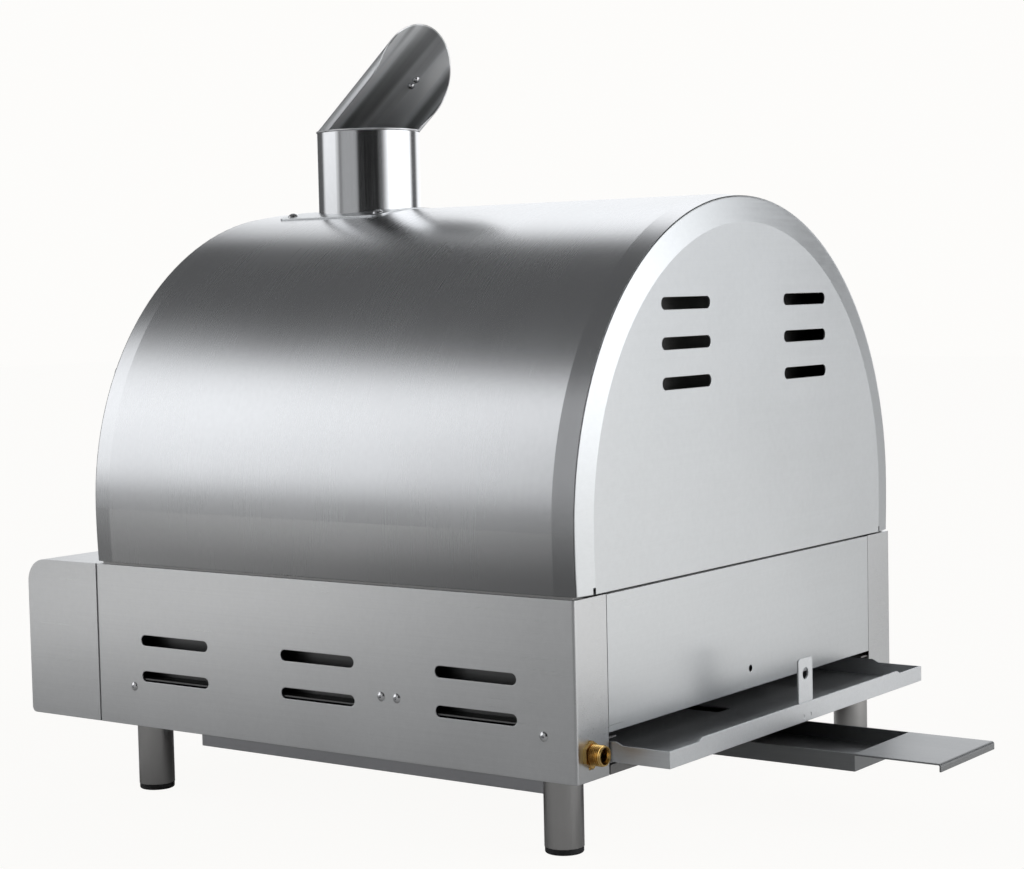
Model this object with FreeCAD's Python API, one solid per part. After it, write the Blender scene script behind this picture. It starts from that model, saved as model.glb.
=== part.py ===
import FreeCAD, Part
import math
import os

# Countertop gas pizza oven: arched stainless shell over a slotted base box,
# control box in front, chimney with a turning cowl, two slide-out trays.
# Axes: +Z up, front towards -Y, right side +X. Units are millimetres.
# Origin: middle of the overall footprint, trays drawn out, on the surface
# the oven stands on.

os.makedirs("parts", exist_ok=True)

# ---------------------------------------------------------------- sizes
overall_width = 420.0        # outside of the base side panels
base_depth = 411.0           # front seam to rear face of the base
base_bottom_z = 47.5         # underside of the base above the counter
base_top_z = 160.0           # top of the base side panels
control_depth = 70.5         # control box, front seam to front face
sheet = 1.0                  # stainless sheet
bend_radius = 2.0            # outside bend of folded panels
foot_side_inset = 19.5       # foot centre from the side face
foot_rear_inset = 24.0       # foot centre from the rear face
foot_front_inset = 35.0      # foot centre behind the front seam
leg_radius = 12.5
leg_wall = 1.5
pad_height = 4.0
pad_plug_height = 10.0
rear_flange_width = 35.0     # side panel returns on the rear face
front_flange_width = 8.0
floor_flange_width = 36.0
top_flange_width = 14.0
rear_lip_height = 6.0        # upturned rear edge of the base floor
rear_panel_bottom_z = 74.0   # tray opening below this edge
deck_sheet = 1.5
arch_wall_height = 38.0      # straight part below the half circle
arch_inset = 1.0             # dome skin inside the base side face
arch_tuck_radius = 560.0     # large radius that draws the straight part in at its foot
end_band = 15.0              # tapered band at both ends of the dome
end_taper = 1.5
cap_bevel = 17.5             # sloped border of the end caps
cap_rise = 3.0               # how far the cap face stands proud
cap_skirt = 13.0
seam_gap = 0.3
liner_inset = 27.0           # liner inside the dome skin
liner_rear_gap = 22.0        # liner rear wall ahead of the rear face
chimney_radius = 38.4
chimney_wall = 1.0
chimney_inset = 87.0         # chimney axis behind the front seam
chimney_top_z = 467.0
plate_size = 100.0           # saddle plate under the chimney
plate_corner = 8.0
plate_screw_pitch = 82.0
screw_radius = 2.0           # all pan head screws
screw_head_radius = 4.0
screw_head_height = 2.4
screw_length = 6.0
cowl_proud = 0.5             # hood outside the pipe
cowl_spigot_depth = 22.0
cowl_turn = 90.0             # direction the hood leans, degrees from +X
cowl_tilt = 49.4             # lean of the hood from vertical, degrees
cowl_edge_low = -101.0       # open front between these two angles, from its lean
cowl_edge_high = 23.0
cowl_crown_angle = 175.0     # tallest side of the hood, from its lean
cowl_mean_height = 39.3      # mean height of the sloping top edge
cowl_slope_height = 37.7     # how far the top edge rises and falls about it
cowl_corner = 26.0           # rounding where the front edges meet the top edge
cowl_lift = 0.4              # gap between hood and pipe rim
cowl_rivet_angle = 128.0     # lap rivets inside the hood, from its lean
cowl_rivet_rise = 36.1
cowl_rivet_spacing = 4.2
running_clearance = 0.06     # radial play of turning fits
vent_length = 63.4
vent_height = 7.5
vent_pitch = 130.0
vent_offset = -5.8           # middle vent from the middle of the feet
vent_upper_z = 108.5
vent_lower_z = 83.2
cap_slot_length = 60.0
cap_slot_height = 8.0
cap_slot_x = 79.0
cap_slot_low_z = 285.5
cap_slot_pitch = 25.5
rivet_radius = 2.0
rivet_head_radius = 3.2
rivet_head_height = 1.4
rivet_low_z = 75.2
rivet_mid_z = 88.3
rivet_low_inset = 0.3        # outer rivets inside the feet centres
rivet_mid_y = 54.6           # rivet pair behind the middle of the feet
rivet_mid_spacing = 12.8
ledge_z = 80.5               # heat shield ledge behind the lower vents
shield_gap = 13.0            # shield wall inside the side panel
rear_support_offset = 120.0
catch_z = 87.5               # tray catch hole
catch_radius = 2.3
tray_side_clearance = 1.6    # tray inside the rear opening, each side
tray_short = 16.0            # tray shorter than the base
tray_bottom_z = 55.6
tray_low_edge = 10.6
tray_high_edge = 12.8
tray_step_in = 34.0
tray_step_run = 5.0
tray_out = 43.0              # rear face of the tray behind the base, as posed
tray_sheet = 1.0
drain_width = 17.0
drain_length = 60.0
drain_inset = 64.0
tab_width = 19.2
tab_top_z = 98.0
tab_sheet = 1.2
tab_hole_radius = 4.0
rail_play = 0.6              # side play between tray and rail web
rail_foot_width = 8.0
rail_lower_width = 14.0
grease_half_width = 40.4
grease_short = 43.0          # grease tray shorter than its housing
grease_height = 11.4
grease_out = 98.75           # rear wall of the grease tray behind the base, as posed
grease_handle = 59.7
grease_lip = 5.2
grease_sheet = 1.0
grease_play = 0.5
housing_inset = 22.0
housing_height = 13.8
housing_rear_inset = 40.0
housing_short = 118.0        # housing shorter than the base
housing_flange = 14.0
inlet_x_inset = 14.0         # gas inlet axis inside the side face
inlet_z = 64.3
thread_radius = 6.58
thread_pitch = 1.337
thread_turns = 6
inlet_hex_flats = 15.0
inlet_hex_height = 2.5
inlet_body_radius = 7.0
inlet_body_length = 16.0
inlet_bore_radius = 4.6
pipe_radius = 5.0
pipe_wall = 1.0
pipe_bend = 10.0
control_corner = 17.0
control_sheet = 1.2
knob_x = 110.0
control_z = 104.0
knob_radius = 22.0
knob_length = 25.0
knob_gap = 2.7               # knob skirt ahead of the control face
knob_grip_proud = 3.0
stem_radius = 4.0
valve_radius = 11.0
manifold_radius = 8.0
manifold_drop = 18.0
burner_radius = 11.0
burner_wall = 1.0
burner_rear_offset = 150.0
port_radius = 1.5
port_pitch = 18.0
port_count = 14
stone_width = 330.0
stone_short = 81.0           # stone shorter than the base
stone_thickness = 12.0
stone_corner = 10.0
support_height = 8.5
support_width = 20.0
support_y = 100.0            # stone support from the middle of the feet
deck_opening_half = 150.0
deck_opening_front = 150.0   # opening ahead of the middle of the feet
deck_opening_rear = 140.0    # and behind it
stone_offset = -12.0
door_half_width = 160.0
door_bottom_z = 175.0
door_top_z = 304.0
door_top_radius = 75.0
door_depth = 16.0
door_sheet = 1.2
door_gap = 2.0
opening_half_width = 142.0
opening_bottom_z = 181.0
opening_top_z = 291.0
opening_top_radius = 60.0
window_half_width = 105.0
window_bottom_z = 206.0
window_top_z = 262.0
window_corner = 12.0
glass_thickness = 4.0
glass_margin = 10.0
hinge_z = 178.0
hinge_front = 8.0            # hinge axis behind the door face
hinge_pin_radius = 3.0
handle_z = 290.0
handle_reach = 36.0
handle_radius = 7.0
handle_half_length = 125.0
handle_post_x = 105.0
handle_post_radius = 4.0
gauge_z = 340.0
gauge_radius = 30.0
gauge_depth = 12.0
button_radius = 7.0
button_clearance = 0.3
button_reach = 8.0
igniter_radius = 9.0

# ---------------------------------------------------------------- derived positions
half = overall_width / 2.0
cowl_radius = chimney_radius + cowl_proud
tray_half_width = half - rear_flange_width - tray_side_clearance
tray_length = base_depth - tray_short
housing_length = base_depth - housing_short
grease_length = housing_length - grease_short
stone_depth = base_depth - stone_short
knob_reach = knob_gap + knob_length + knob_grip_proud
tray_reach = grease_out + grease_handle
rear_y = (base_depth + control_depth + knob_reach - tray_reach) / 2.0
seam_y = rear_y - base_depth
front_y = seam_y - control_depth
foot_x = half - foot_side_inset
foot_rear_y = rear_y - foot_rear_inset
foot_front_y = seam_y + foot_front_inset
mid_y = (foot_rear_y + foot_front_y) / 2.0
rivet_low_y = (foot_rear_y - foot_front_y) / 2.0 - rivet_low_inset
chimney_y = seam_y + chimney_inset
rear_support_y = mid_y + rear_support_offset
burner_rear_y = mid_y + burner_rear_offset
floor_z = base_bottom_z + sheet
deck_top_z = base_top_z + deck_sheet
arch_z = deck_top_z + arch_wall_height
arch_r = half - arch_inset
arch_end_r = arch_r - end_taper
liner_r = arch_r - liner_inset
liner_rear_y = rear_y - liner_rear_gap
cap_front_y = seam_y - cap_rise
cap_rear_y = rear_y + cap_rise - 1.0
inlet_x = half - inlet_x_inset
tray_rear_y = rear_y + tray_out
grease_rear_y = rear_y + grease_out
housing_z = base_bottom_z - housing_height
housing_rear_y = rear_y - housing_rear_inset
housing_front_y = housing_rear_y - housing_length
housing_x = half - housing_inset
grease_z = housing_z + sheet + seam_gap
manifold_y = front_y + 29.5
manifold_z = control_z - manifold_drop
door_face_y = cap_front_y - door_gap - door_depth
door_back_y = cap_front_y - door_gap
hinge_y = door_face_y + hinge_front
shield_x = half - sheet - shield_gap


# ---------------------------------------------------------------- helpers
def vec(x, y, z):
    return FreeCAD.Vector(x, y, z)


def block(x0, x1, y0, y1, z0, z1):
    return Part.makeBox(x1 - x0, y1 - y0, z1 - z0, vec(x0, y0, z0))


def rod(x, y, z, direction, radius, length):
    return Part.makeCylinder(radius, length, vec(x, y, z), vec(*direction))


def ring(x, y, z, direction, outer, inner, length):
    return rod(x, y, z, direction, outer, length).cut(rod(x, y, z, direction, inner, length))


def join(shapes):
    result = shapes[0]
    for shape in shapes[1:]:
        result = result.fuse(shape)
    return result.removeSplitter()


def save(name, shapes):
    if not isinstance(shapes, list):
        shapes = [shapes]
    solids = []
    for shape in shapes:
        solids.extend(shape.Solids)
    Part.makeCompound(solids).exportStep("parts/" + name + ".step")


def mirrored(shape):
    return shape.mirror(vec(0, 0, 0), vec(1, 0, 0))


def rounded_face(points, radii, place):
    # Closed polygon with each corner rounded to its own radius.
    edges = []
    starts = []
    ends = []
    mids = []
    count = len(points)
    for i in range(count):
        px, py = points[i]
        ax, ay = points[i - 1]
        bx, by = points[(i + 1) % count]
        radius = radii[i]
        if radius <= 0.0:
            starts.append((px, py))
            ends.append((px, py))
            mids.append(None)
            continue
        ua = math.hypot(ax - px, ay - py)
        ub = math.hypot(bx - px, by - py)
        uax, uay = (ax - px) / ua, (ay - py) / ua
        ubx, uby = (bx - px) / ub, (by - py) / ub
        half_angle = math.acos(uax * ubx + uay * uby) / 2.0
        run = radius / math.tan(half_angle)
        bisx, bisy = uax + ubx, uay + uby
        bis = math.hypot(bisx, bisy)
        reach = radius / math.sin(half_angle)
        cx, cy = px + bisx / bis * reach, py + bisy / bis * reach
        starts.append((px + uax * run, py + uay * run))
        ends.append((px + ubx * run, py + uby * run))
        mids.append((cx - bisx / bis * radius, cy - bisy / bis * radius))
    for i in range(count):
        if mids[i] is not None:
            arc = Part.Arc(place(*starts[i]), place(*mids[i]), place(*ends[i]))
            edges.append(arc.toShape())
        nxt = (i + 1) % count
        if math.hypot(ends[i][0] - starts[nxt][0], ends[i][1] - starts[nxt][1]) > 1e-6:
            edges.append(Part.makeLine(place(*ends[i]), place(*starts[nxt])))
    return Part.Face(Part.Wire(edges))


def plan_prism(points, radii, z0, z1):
    # Outline in plan, raised from z0 to z1.
    face = rounded_face(points, radii, lambda u, v: vec(u, v, z0))
    return face.extrude(vec(0, 0, z1 - z0))


def front_prism(points, radii, y0, y1):
    # Outline in the XZ plane, run from y0 to y1.
    face = rounded_face(points, radii, lambda u, v: vec(u, y0, v))
    return face.extrude(vec(0, y1 - y0, 0))


def side_prism(points, radii, x0, x1):
    # Outline in the YZ plane, run from x0 to x1.
    face = rounded_face(points, radii, lambda u, v: vec(x0, u, v))
    return face.extrude(vec(x1 - x0, 0, 0))


def arch_wire(radius, y, z_bottom):
    # Half circle on side walls that draw in slightly towards the foot.
    drop = arch_z - z_bottom
    foot = radius - drop ** 2 / (2.0 * arch_tuck_radius)
    waist = radius - (drop / 2.0) ** 2 / (2.0 * arch_tuck_radius)
    left = vec(-foot, y, z_bottom)
    left_top = vec(-radius, y, arch_z)
    crown = vec(0, y, arch_z + radius)
    right_top = vec(radius, y, arch_z)
    right = vec(foot, y, z_bottom)
    waist_z = arch_z - drop / 2.0
    return Part.Wire([
        Part.Arc(left, vec(-waist, y, waist_z), left_top).toShape(),
        Part.Arc(left_top, crown, right_top).toShape(),
        Part.Arc(right_top, vec(waist, y, waist_z), right).toShape(),
        Part.makeLine(right, left)])


def arch_body(stations, z_bottom):
    # Solid arch whose radius changes along Y; stations are (y, radius).
    pieces = []
    for i in range(len(stations) - 1):
        y0, r0 = stations[i]
        y1, r1 = stations[i + 1]
        if abs(r0 - r1) < 1e-9:
            pieces.append(Part.Face(arch_wire(r0, y0, z_bottom)).extrude(vec(0, y1 - y0, 0)))
        else:
            pieces.append(Part.makeLoft(
                [arch_wire(r0, y0, z_bottom), arch_wire(r1, y1, z_bottom)], True, True))
    return join(pieces)


def slot_y(x0, x1, y, z, length, height):
    # Round-ended slot through X, long along Y.
    r = height / 2.0
    reach = length / 2.0 - r
    body = block(x0, x1, y - reach, y + reach, z - r, z + r)
    body = body.fuse(rod(x0, y - reach, z, (1, 0, 0), r, x1 - x0))
    return body.fuse(rod(x0, y + reach, z, (1, 0, 0), r, x1 - x0))


def slot_x(y0, y1, x, z, length, height):
    # Round-ended slot through Y, long along X.
    r = height / 2.0
    reach = length / 2.0 - r
    body = block(x - reach, x + reach, y0, y1, z - r, z + r)
    body = body.fuse(rod(x - reach, y0, z, (0, 1, 0), r, y1 - y0))
    return body.fuse(rod(x + reach, y0, z, (0, 1, 0), r, y1 - y0))


def hex_prism(x, y, z, direction, flats, height):
    corner = flats / math.sqrt(3.0)
    points = []
    for i in range(6):
        angle = math.radians(60.0 * i + 30.0)
        points.append((corner * math.cos(angle), corner * math.sin(angle)))
    face = rounded_face(points, [0.0] * 6, lambda u, v: vec(u, v, 0))
    prism = face.extrude(vec(0, 0, height))
    turn = FreeCAD.Rotation(vec(0, 0, 1), vec(*direction))
    prism.Placement = FreeCAD.Placement(vec(x, y, z), turn)
    return prism


def pan_screw(x, y, z, direction):
    # Domed head on the surface point, shank running inwards.
    head_radius = screw_head_radius
    head_height = screw_head_height
    ball_radius = (head_radius ** 2 + head_height ** 2) / (2.0 * head_height)
    head = Part.makeSphere(ball_radius, vec(0, 0, head_height - ball_radius))
    head = head.common(Part.makeBox(
        4 * head_radius, 4 * head_radius, head_height, vec(-2 * head_radius, -2 * head_radius, 0)))
    shank = Part.makeCylinder(screw_radius, screw_length, vec(0, 0, -screw_length))
    drive = Part.makeBox(
        head_radius * 1.1, head_height * 0.35, head_height * 0.5,
        vec(-head_radius * 0.55, -head_height * 0.175, head_height * 0.55))
    cross = Part.makeBox(
        head_height * 0.35, head_radius * 1.1, head_height * 0.5,
        vec(-head_height * 0.175, -head_radius * 0.55, head_height * 0.55))
    screw = head.fuse(shank).cut(drive).cut(cross)
    screw.Placement = FreeCAD.Placement(vec(x, y, z), FreeCAD.Rotation(vec(0, 0, 1), vec(*direction)))
    return screw


def blind_rivet(x, y, z, direction, shank_length):
    # Dome head with the hollow left by the pulled mandrel.
    ball = (rivet_head_radius ** 2 + rivet_head_height ** 2) / (2.0 * rivet_head_height)
    head = Part.makeSphere(ball, vec(0, 0, rivet_head_height - ball))
    head = head.common(Part.makeBox(
        20, 20, rivet_head_height, vec(-10, -10, 0)))
    body = head.fuse(Part.makeCylinder(rivet_radius, shank_length, vec(0, 0, -shank_length)))
    body = body.cut(Part.makeCylinder(1.0, rivet_head_height + 0.6, vec(0, 0, -0.6 + 0.01)))
    body.Placement = FreeCAD.Placement(vec(x, y, z), FreeCAD.Rotation(vec(0, 0, 1), vec(*direction)))
    return body


# ---------------------------------------------------------------- base box
rivet_places = [
    (mid_y - rivet_low_y, rivet_low_z), (mid_y + rivet_low_y, rivet_low_z),
    (mid_y + rivet_mid_y - rivet_mid_spacing / 2.0, rivet_mid_z),
    (mid_y + rivet_mid_y + rivet_mid_spacing / 2.0, rivet_mid_z)]
vent_places = []
for column in (-1, 0, 1):
    for row_z in (vent_upper_z, vent_lower_z):
        vent_places.append((mid_y + vent_offset + column * vent_pitch, row_z))


def base_side():
    rear_x = half - rear_flange_width
    front_x = half - front_flange_width
    outline = [
        (rear_x, rear_y), (half, rear_y), (half, seam_y), (front_x, seam_y),
        (front_x, seam_y + sheet), (half - sheet, seam_y + sheet),
        (half - sheet, rear_y - sheet), (rear_x, rear_y - sheet)]
    inner_bend = bend_radius - sheet
    radii = [0, bend_radius, bend_radius, 0, 0, inner_bend, inner_bend, 0]
    wall = plan_prism(outline, radii, base_bottom_z, base_top_z)
    inset = sheet * 0.7
    lower = block(half - floor_flange_width, half - inset, seam_y + inset, rear_y - inset,
                  base_bottom_z, base_bottom_z + sheet)
    upper = block(half - top_flange_width, half - inset, seam_y + inset, rear_y - inset,
                  base_top_z - sheet, base_top_z)
    panel = join([wall, lower, upper])
    for vent_y, vent_z in vent_places:
        panel = panel.cut(slot_y(half - 2 * sheet, half + sheet, vent_y, vent_z,
                                 vent_length, vent_height))
    for place_y, place_z in rivet_places:
        panel = panel.cut(rod(half - 2 * sheet, place_y, place_z, (1, 0, 0),
                              rivet_radius, 3 * sheet))
    for side_y in (foot_front_y, foot_rear_y):
        panel = panel.cut(rod(foot_x, side_y, base_bottom_z - sheet, (0, 0, 1), 4.0, 3 * sheet))
    return panel


right_side = base_side()
inlet_hole = rod(inlet_x, rear_y - 2 * sheet, inlet_z, (0, 1, 0), inlet_body_radius, 3 * sheet)
inlet_notch = slot_x(rear_y - 2 * sheet, rear_y + sheet, inlet_x - 2.0, inlet_z - 8.5, 7.0, 2.5)
save("base_side_right", right_side.cut(inlet_hole).cut(inlet_notch))
save("base_side_left", mirrored(right_side))

side_clear = half - sheet - seam_gap
base_floor = block(-side_clear, side_clear, seam_y + sheet + seam_gap, rear_y - sheet - seam_gap,
                   floor_z, floor_z + sheet)
closed_drain_rear = tray_rear_y - drain_inset - tray_out + 2.5
base_floor = base_floor.cut(block(
    -drain_width, drain_width, closed_drain_rear - drain_length - 12.0, closed_drain_rear + 12.0,
    base_bottom_z, floor_z + 2 * sheet))
for side in (-1, 1):
    for side_y in (foot_front_y, foot_rear_y):
        base_floor = base_floor.cut(rod(side * foot_x, side_y, base_bottom_z, (0, 0, 1), 4.0, 5.0))
    for index in range(5):
        base_floor = base_floor.cut(rod(
            side * (housing_x - 60.0), mid_y - 100.0 + 50.0 * index, base_bottom_z, (0, 0, 1), 9.0, 5.0))
lip_half = half - floor_flange_width - seam_gap
base_floor = join([
    base_floor,
    block(-lip_half, lip_half, rear_y - 2 * sheet - seam_gap, rear_y, base_bottom_z, floor_z),
    block(-lip_half, lip_half, rear_y - sheet, rear_y, base_bottom_z, base_bottom_z + rear_lip_height)])
save("base_floor", base_floor)

panel_half = half - rear_flange_width - 2 * seam_gap
rear_panel = join([
    block(-panel_half, panel_half, rear_y - sheet, rear_y, rear_panel_bottom_z, base_top_z - seam_gap),
    block(-panel_half - 12.0, -panel_half + sheet, rear_y - 2 * sheet, rear_y - sheet,
          rear_panel_bottom_z, base_top_z - sheet - seam_gap),
    block(panel_half - sheet, panel_half + 12.0, rear_y - 2 * sheet, rear_y - sheet,
          rear_panel_bottom_z, base_top_z - sheet - seam_gap),
    block(-panel_half + 4.0, panel_half - 4.0, rear_y - 14.0, rear_y - sheet,
          base_top_z - sheet - seam_gap, base_top_z - seam_gap),
    block(-panel_half + 4.0, panel_half - 4.0, rear_y - 12.0, rear_y - sheet,
          rear_panel_bottom_z, rear_panel_bottom_z + sheet)])
rear_panel = rear_panel.cut(rod(0, rear_y - 3 * sheet, catch_z, (0, 1, 0), catch_radius, 5 * sheet))
save("base_rear_panel", rear_panel)

bulkhead_half = inlet_x - pipe_radius - 2.0
bulkhead_y = seam_y + sheet
bulkhead = join([
    block(-bulkhead_half, bulkhead_half, bulkhead_y, bulkhead_y + sheet,
          floor_z + sheet, base_top_z - seam_gap),
    block(-bulkhead_half, bulkhead_half, bulkhead_y, bulkhead_y + 12.0,
          floor_z + sheet, floor_z + 2 * sheet)])
for side in (-1, 1):
    bulkhead = bulkhead.cut(rod(side * knob_x, bulkhead_y - sheet, control_z, (0, 1, 0),
                                burner_radius, 4 * sheet))
save("base_front_bulkhead", bulkhead)

deck_edge = half - 4.0
deck = block(-deck_edge, deck_edge, seam_y + 4.0, rear_y - 4.0, base_top_z, deck_top_z)
deck_corner = 12.0
deck = deck.cut(plan_prism(
    [(-deck_opening_half, mid_y - deck_opening_front), (deck_opening_half, mid_y - deck_opening_front),
     (deck_opening_half, mid_y + deck_opening_rear), (-deck_opening_half, mid_y + deck_opening_rear)],
    [deck_corner] * 4, base_top_z - 1.0, deck_top_z + 1.0))
save("cooking_deck", deck)

# ---------------------------------------------------------------- side rivets
rivets = []
for side in (-1, 1):
    for place_y, place_z in rivet_places:
        rivets.append(blind_rivet(side * half, place_y, place_z, (side, 0, 0), 2 * sheet + 0.4))
save("side_rivets", rivets)

# ---------------------------------------------------------------- heat shields and burners
shield_front_y = bulkhead_y + 14.0
shield_rear_y = rear_y - 16.0


def heat_shield():
    ledge_outer = half - sheet - seam_gap
    pieces = [
        block(shield_x - sheet, shield_x, shield_front_y, shield_rear_y,
              ledge_z, base_top_z - sheet - 1.0),
        block(shield_x - sheet, ledge_outer, shield_front_y, shield_rear_y,
              ledge_z, ledge_z + sheet)]
    tab_places = [(mid_y - rivet_low_y, rivet_low_z), (mid_y + rivet_low_y, rivet_low_z),
                  (mid_y + rivet_mid_y, rivet_mid_z)]
    for tab_y, tab_z in tab_places:
        low = min(ledge_z, tab_z - 6.0)
        high = max(ledge_z + sheet, tab_z + 6.0)
        reach = 7.0 if tab_z < ledge_z else 7.0 + rivet_mid_spacing / 2.0
        pieces.append(block(half - 2 * sheet, half - sheet, tab_y - reach, tab_y + reach, low, high))
    shield = join(pieces)
    for place_y, place_z in rivet_places:
        shield = shield.cut(rod(half - 3 * sheet, place_y, place_z, (1, 0, 0), rivet_radius, 3 * sheet))
    return shield


shield = heat_shield()
save("heat_shields", [shield, mirrored(shield)])

support = block(-shield_x + sheet, shield_x - sheet, rear_support_y, rear_support_y + sheet,
                ledge_z + sheet, base_top_z - 8.0)
support = join([support, block(-shield_x + sheet, shield_x - sheet, rear_support_y,
                               rear_support_y + 12.0, ledge_z + sheet, ledge_z + 2 * sheet)])
for side in (-1, 1):
    support = support.cut(rod(side * knob_x, rear_support_y - 1.0, control_z, (0, 1, 0),
                              burner_radius, 4.0))
save("burner_rear_support", support)

burner_front_y = seam_y - 18.0
burners = []
for side in (-1, 1):
    burner_length = burner_rear_y - burner_front_y
    tube = rod(side * knob_x, burner_front_y, control_z, (0, 1, 0), burner_radius, burner_length)
    tube = tube.cut(rod(side * knob_x, burner_front_y - 1.0, control_z, (0, 1, 0),
                        burner_radius - burner_wall, burner_length - burner_wall))
    ports = []
    for index in range(port_count):
        port_y = mid_y - 150.0 + port_pitch * index
        for lean in (-1, 1):
            ports.append(rod(side * knob_x, port_y, control_z, (lean, 0, 1), port_radius,
                             burner_radius + 4.0))
    tube = tube.cut(Part.makeCompound(ports))
    shutter = block(side * knob_x - 4.0, side * knob_x + 4.0, burner_front_y + 5.0,
                    burner_front_y + 13.0, control_z - burner_radius - 2.0, control_z)
    burners.append(tube.cut(shutter))
save("burner_tubes", burners)

tamers = []
tamer_half = 30.0
tamer_z = control_z + burner_radius + 9.0
tamer_top_z = tamer_z + 20.0
for side in (-1, 1):
    centre = side * knob_x
    outline = [
        (centre - tamer_half, tamer_z), (centre, tamer_top_z), (centre + tamer_half, tamer_z),
        (centre + tamer_half - 2 * sheet, tamer_z), (centre, tamer_top_z - 1.4 * sheet),
        (centre - tamer_half + 2 * sheet, tamer_z)]
    tamers.append(front_prism(outline, [0, 3, 0, 0, 2, 0], bulkhead_y + sheet, rear_support_y))
save("flame_tamers", tamers)

electrodes = []
for side in (-1, 1):
    electrode_x = side * (knob_x - burner_radius - 9.0)
    insulator = rod(electrode_x, bulkhead_y + sheet, control_z + 13.0, (0, 1, 0), 3.5, 40.0)
    tip = rod(electrode_x, bulkhead_y + sheet + 38.0, control_z + 13.0, (0, 1, 0), 1.0, 22.0)
    electrodes.append(join([insulator, tip]))
save("ignition_electrodes", electrodes)

# ---------------------------------------------------------------- dome, end caps and liner
def dome_stations(inside):
    return [
        (seam_y - (1.0 if inside > 0 else 0.0), arch_end_r - inside),
        (seam_y + end_band, arch_r - inside),
        (rear_y - sheet - end_band, arch_r - inside),
        (rear_y - sheet + (1.0 if inside > 0 else 0.0), arch_end_r - inside)]


chimney_bore = rod(0, chimney_y, arch_z, (0, 0, 1), chimney_radius, 400.0)
dome = arch_body(dome_stations(0.0), deck_top_z).cut(arch_body(dome_stations(sheet), deck_top_z - 5.0))
dome = dome.cut(chimney_bore)


def end_cap(outward):
    # outward is +1 for the rear and -1 for the front.
    edge_y = rear_y - sheet + seam_gap if outward > 0 else seam_y - seam_gap
    face_y = cap_rear_y if outward > 0 else cap_front_y
    skirt_r = arch_end_r - sheet - seam_gap
    skirt_y = edge_y - outward * cap_skirt
    inner_r = arch_end_r - cap_bevel

    def body(stations, z_bottom):
        if outward < 0:
            stations = stations[::-1]
        return arch_body(stations, z_bottom)

    skirt = body([(skirt_y, skirt_r), (edge_y, skirt_r)], deck_top_z)
    bevel = body([(edge_y, arch_end_r), (face_y, inner_r)], deck_top_z)
    solid = join([skirt, bevel])
    hollow_r = skirt_r - sheet
    start_y = skirt_y - outward
    hollow = body([(start_y, hollow_r), (edge_y - outward * sheet, hollow_r)], deck_top_z + sheet)
    taper = body([(edge_y - outward * sheet, hollow_r), (face_y - outward * sheet, inner_r - sheet)],
                 deck_top_z + sheet)
    return solid.cut(join([hollow, taper]))


rear_cap = end_cap(1)
for side in (-1, 1):
    for row in range(3):
        rear_cap = rear_cap.cut(slot_x(
            rear_y - 20.0, rear_y + 10.0, side * cap_slot_x, cap_slot_low_z + row * cap_slot_pitch,
            cap_slot_length, cap_slot_height))
    notch_x = side * (arch_end_r - cap_bevel)
    rear_cap = rear_cap.cut(block(notch_x - 1.2, notch_x + 1.2, rear_y - 3.0, rear_y + 5.0,
                                  deck_top_z - 1.0, deck_top_z + 4.0))
save("rear_cap", rear_cap)

front_frame = end_cap(-1)
front_frame = front_frame.cut(front_prism(
    [(-opening_half_width, opening_bottom_z), (opening_half_width, opening_bottom_z),
     (opening_half_width, opening_top_z), (-opening_half_width, opening_top_z)],
    [6.0, 6.0, opening_top_radius, opening_top_radius], seam_y - 10.0, seam_y + 30.0))
front_frame = front_frame.cut(rod(0, seam_y - 10.0, gauge_z, (0, 1, 0), 3.0, 30.0))

liner_front_y = cap_front_y + sheet
liner = arch_body([(liner_front_y, liner_r), (liner_rear_y, liner_r)], deck_top_z)
liner = liner.cut(arch_body([(liner_front_y - 1.0, liner_r - sheet),
                             (liner_rear_y + 1.0, liner_r - sheet)], deck_top_z - 5.0))
liner = liner.cut(rod(0, chimney_y, arch_z, (0, 0, 1), chimney_radius - chimney_wall, 400.0))
save("inner_liner", liner)

liner_wall = Part.Face(arch_wire(liner_r - sheet, liner_rear_y - sheet, deck_top_z)).extrude(
    vec(0, sheet, 0))
liner_wall_flange = arch_body([(liner_rear_y - 10.0, liner_r - sheet),
                               (liner_rear_y, liner_r - sheet)], deck_top_z)
liner_wall_flange = liner_wall_flange.cut(arch_body([
    (liner_rear_y - 11.0, liner_r - 2 * sheet),
    (liner_rear_y + 1.0, liner_r - 2 * sheet)], deck_top_z - 1.0))
save("liner_rear_wall", join([liner_wall, liner_wall_flange]))

# ---------------------------------------------------------------- stone and supports
supports = []
for side in (-1, 1):
    web_y = mid_y + side * support_y
    web = block(-liner_r + 6.0, liner_r - 6.0, web_y, web_y + deck_sheet,
                deck_top_z, deck_top_z + support_height)
    top = block(-liner_r + 6.0, liner_r - 6.0, web_y, web_y + support_width,
                deck_top_z + support_height - deck_sheet, deck_top_z + support_height)
    supports.append(join([web, top]))
save("stone_supports", supports)

stone_half = stone_width / 2.0
stone_half_depth = stone_depth / 2.0
stone_y = mid_y + stone_offset
stone_z = deck_top_z + support_height
stone = plan_prism(
    [(-stone_half, stone_y - stone_half_depth), (stone_half, stone_y - stone_half_depth),
     (stone_half, stone_y + stone_half_depth), (-stone_half, stone_y + stone_half_depth)],
    [stone_corner] * 4, stone_z, stone_z + stone_thickness)
save("pizza_stone", stone)

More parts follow.
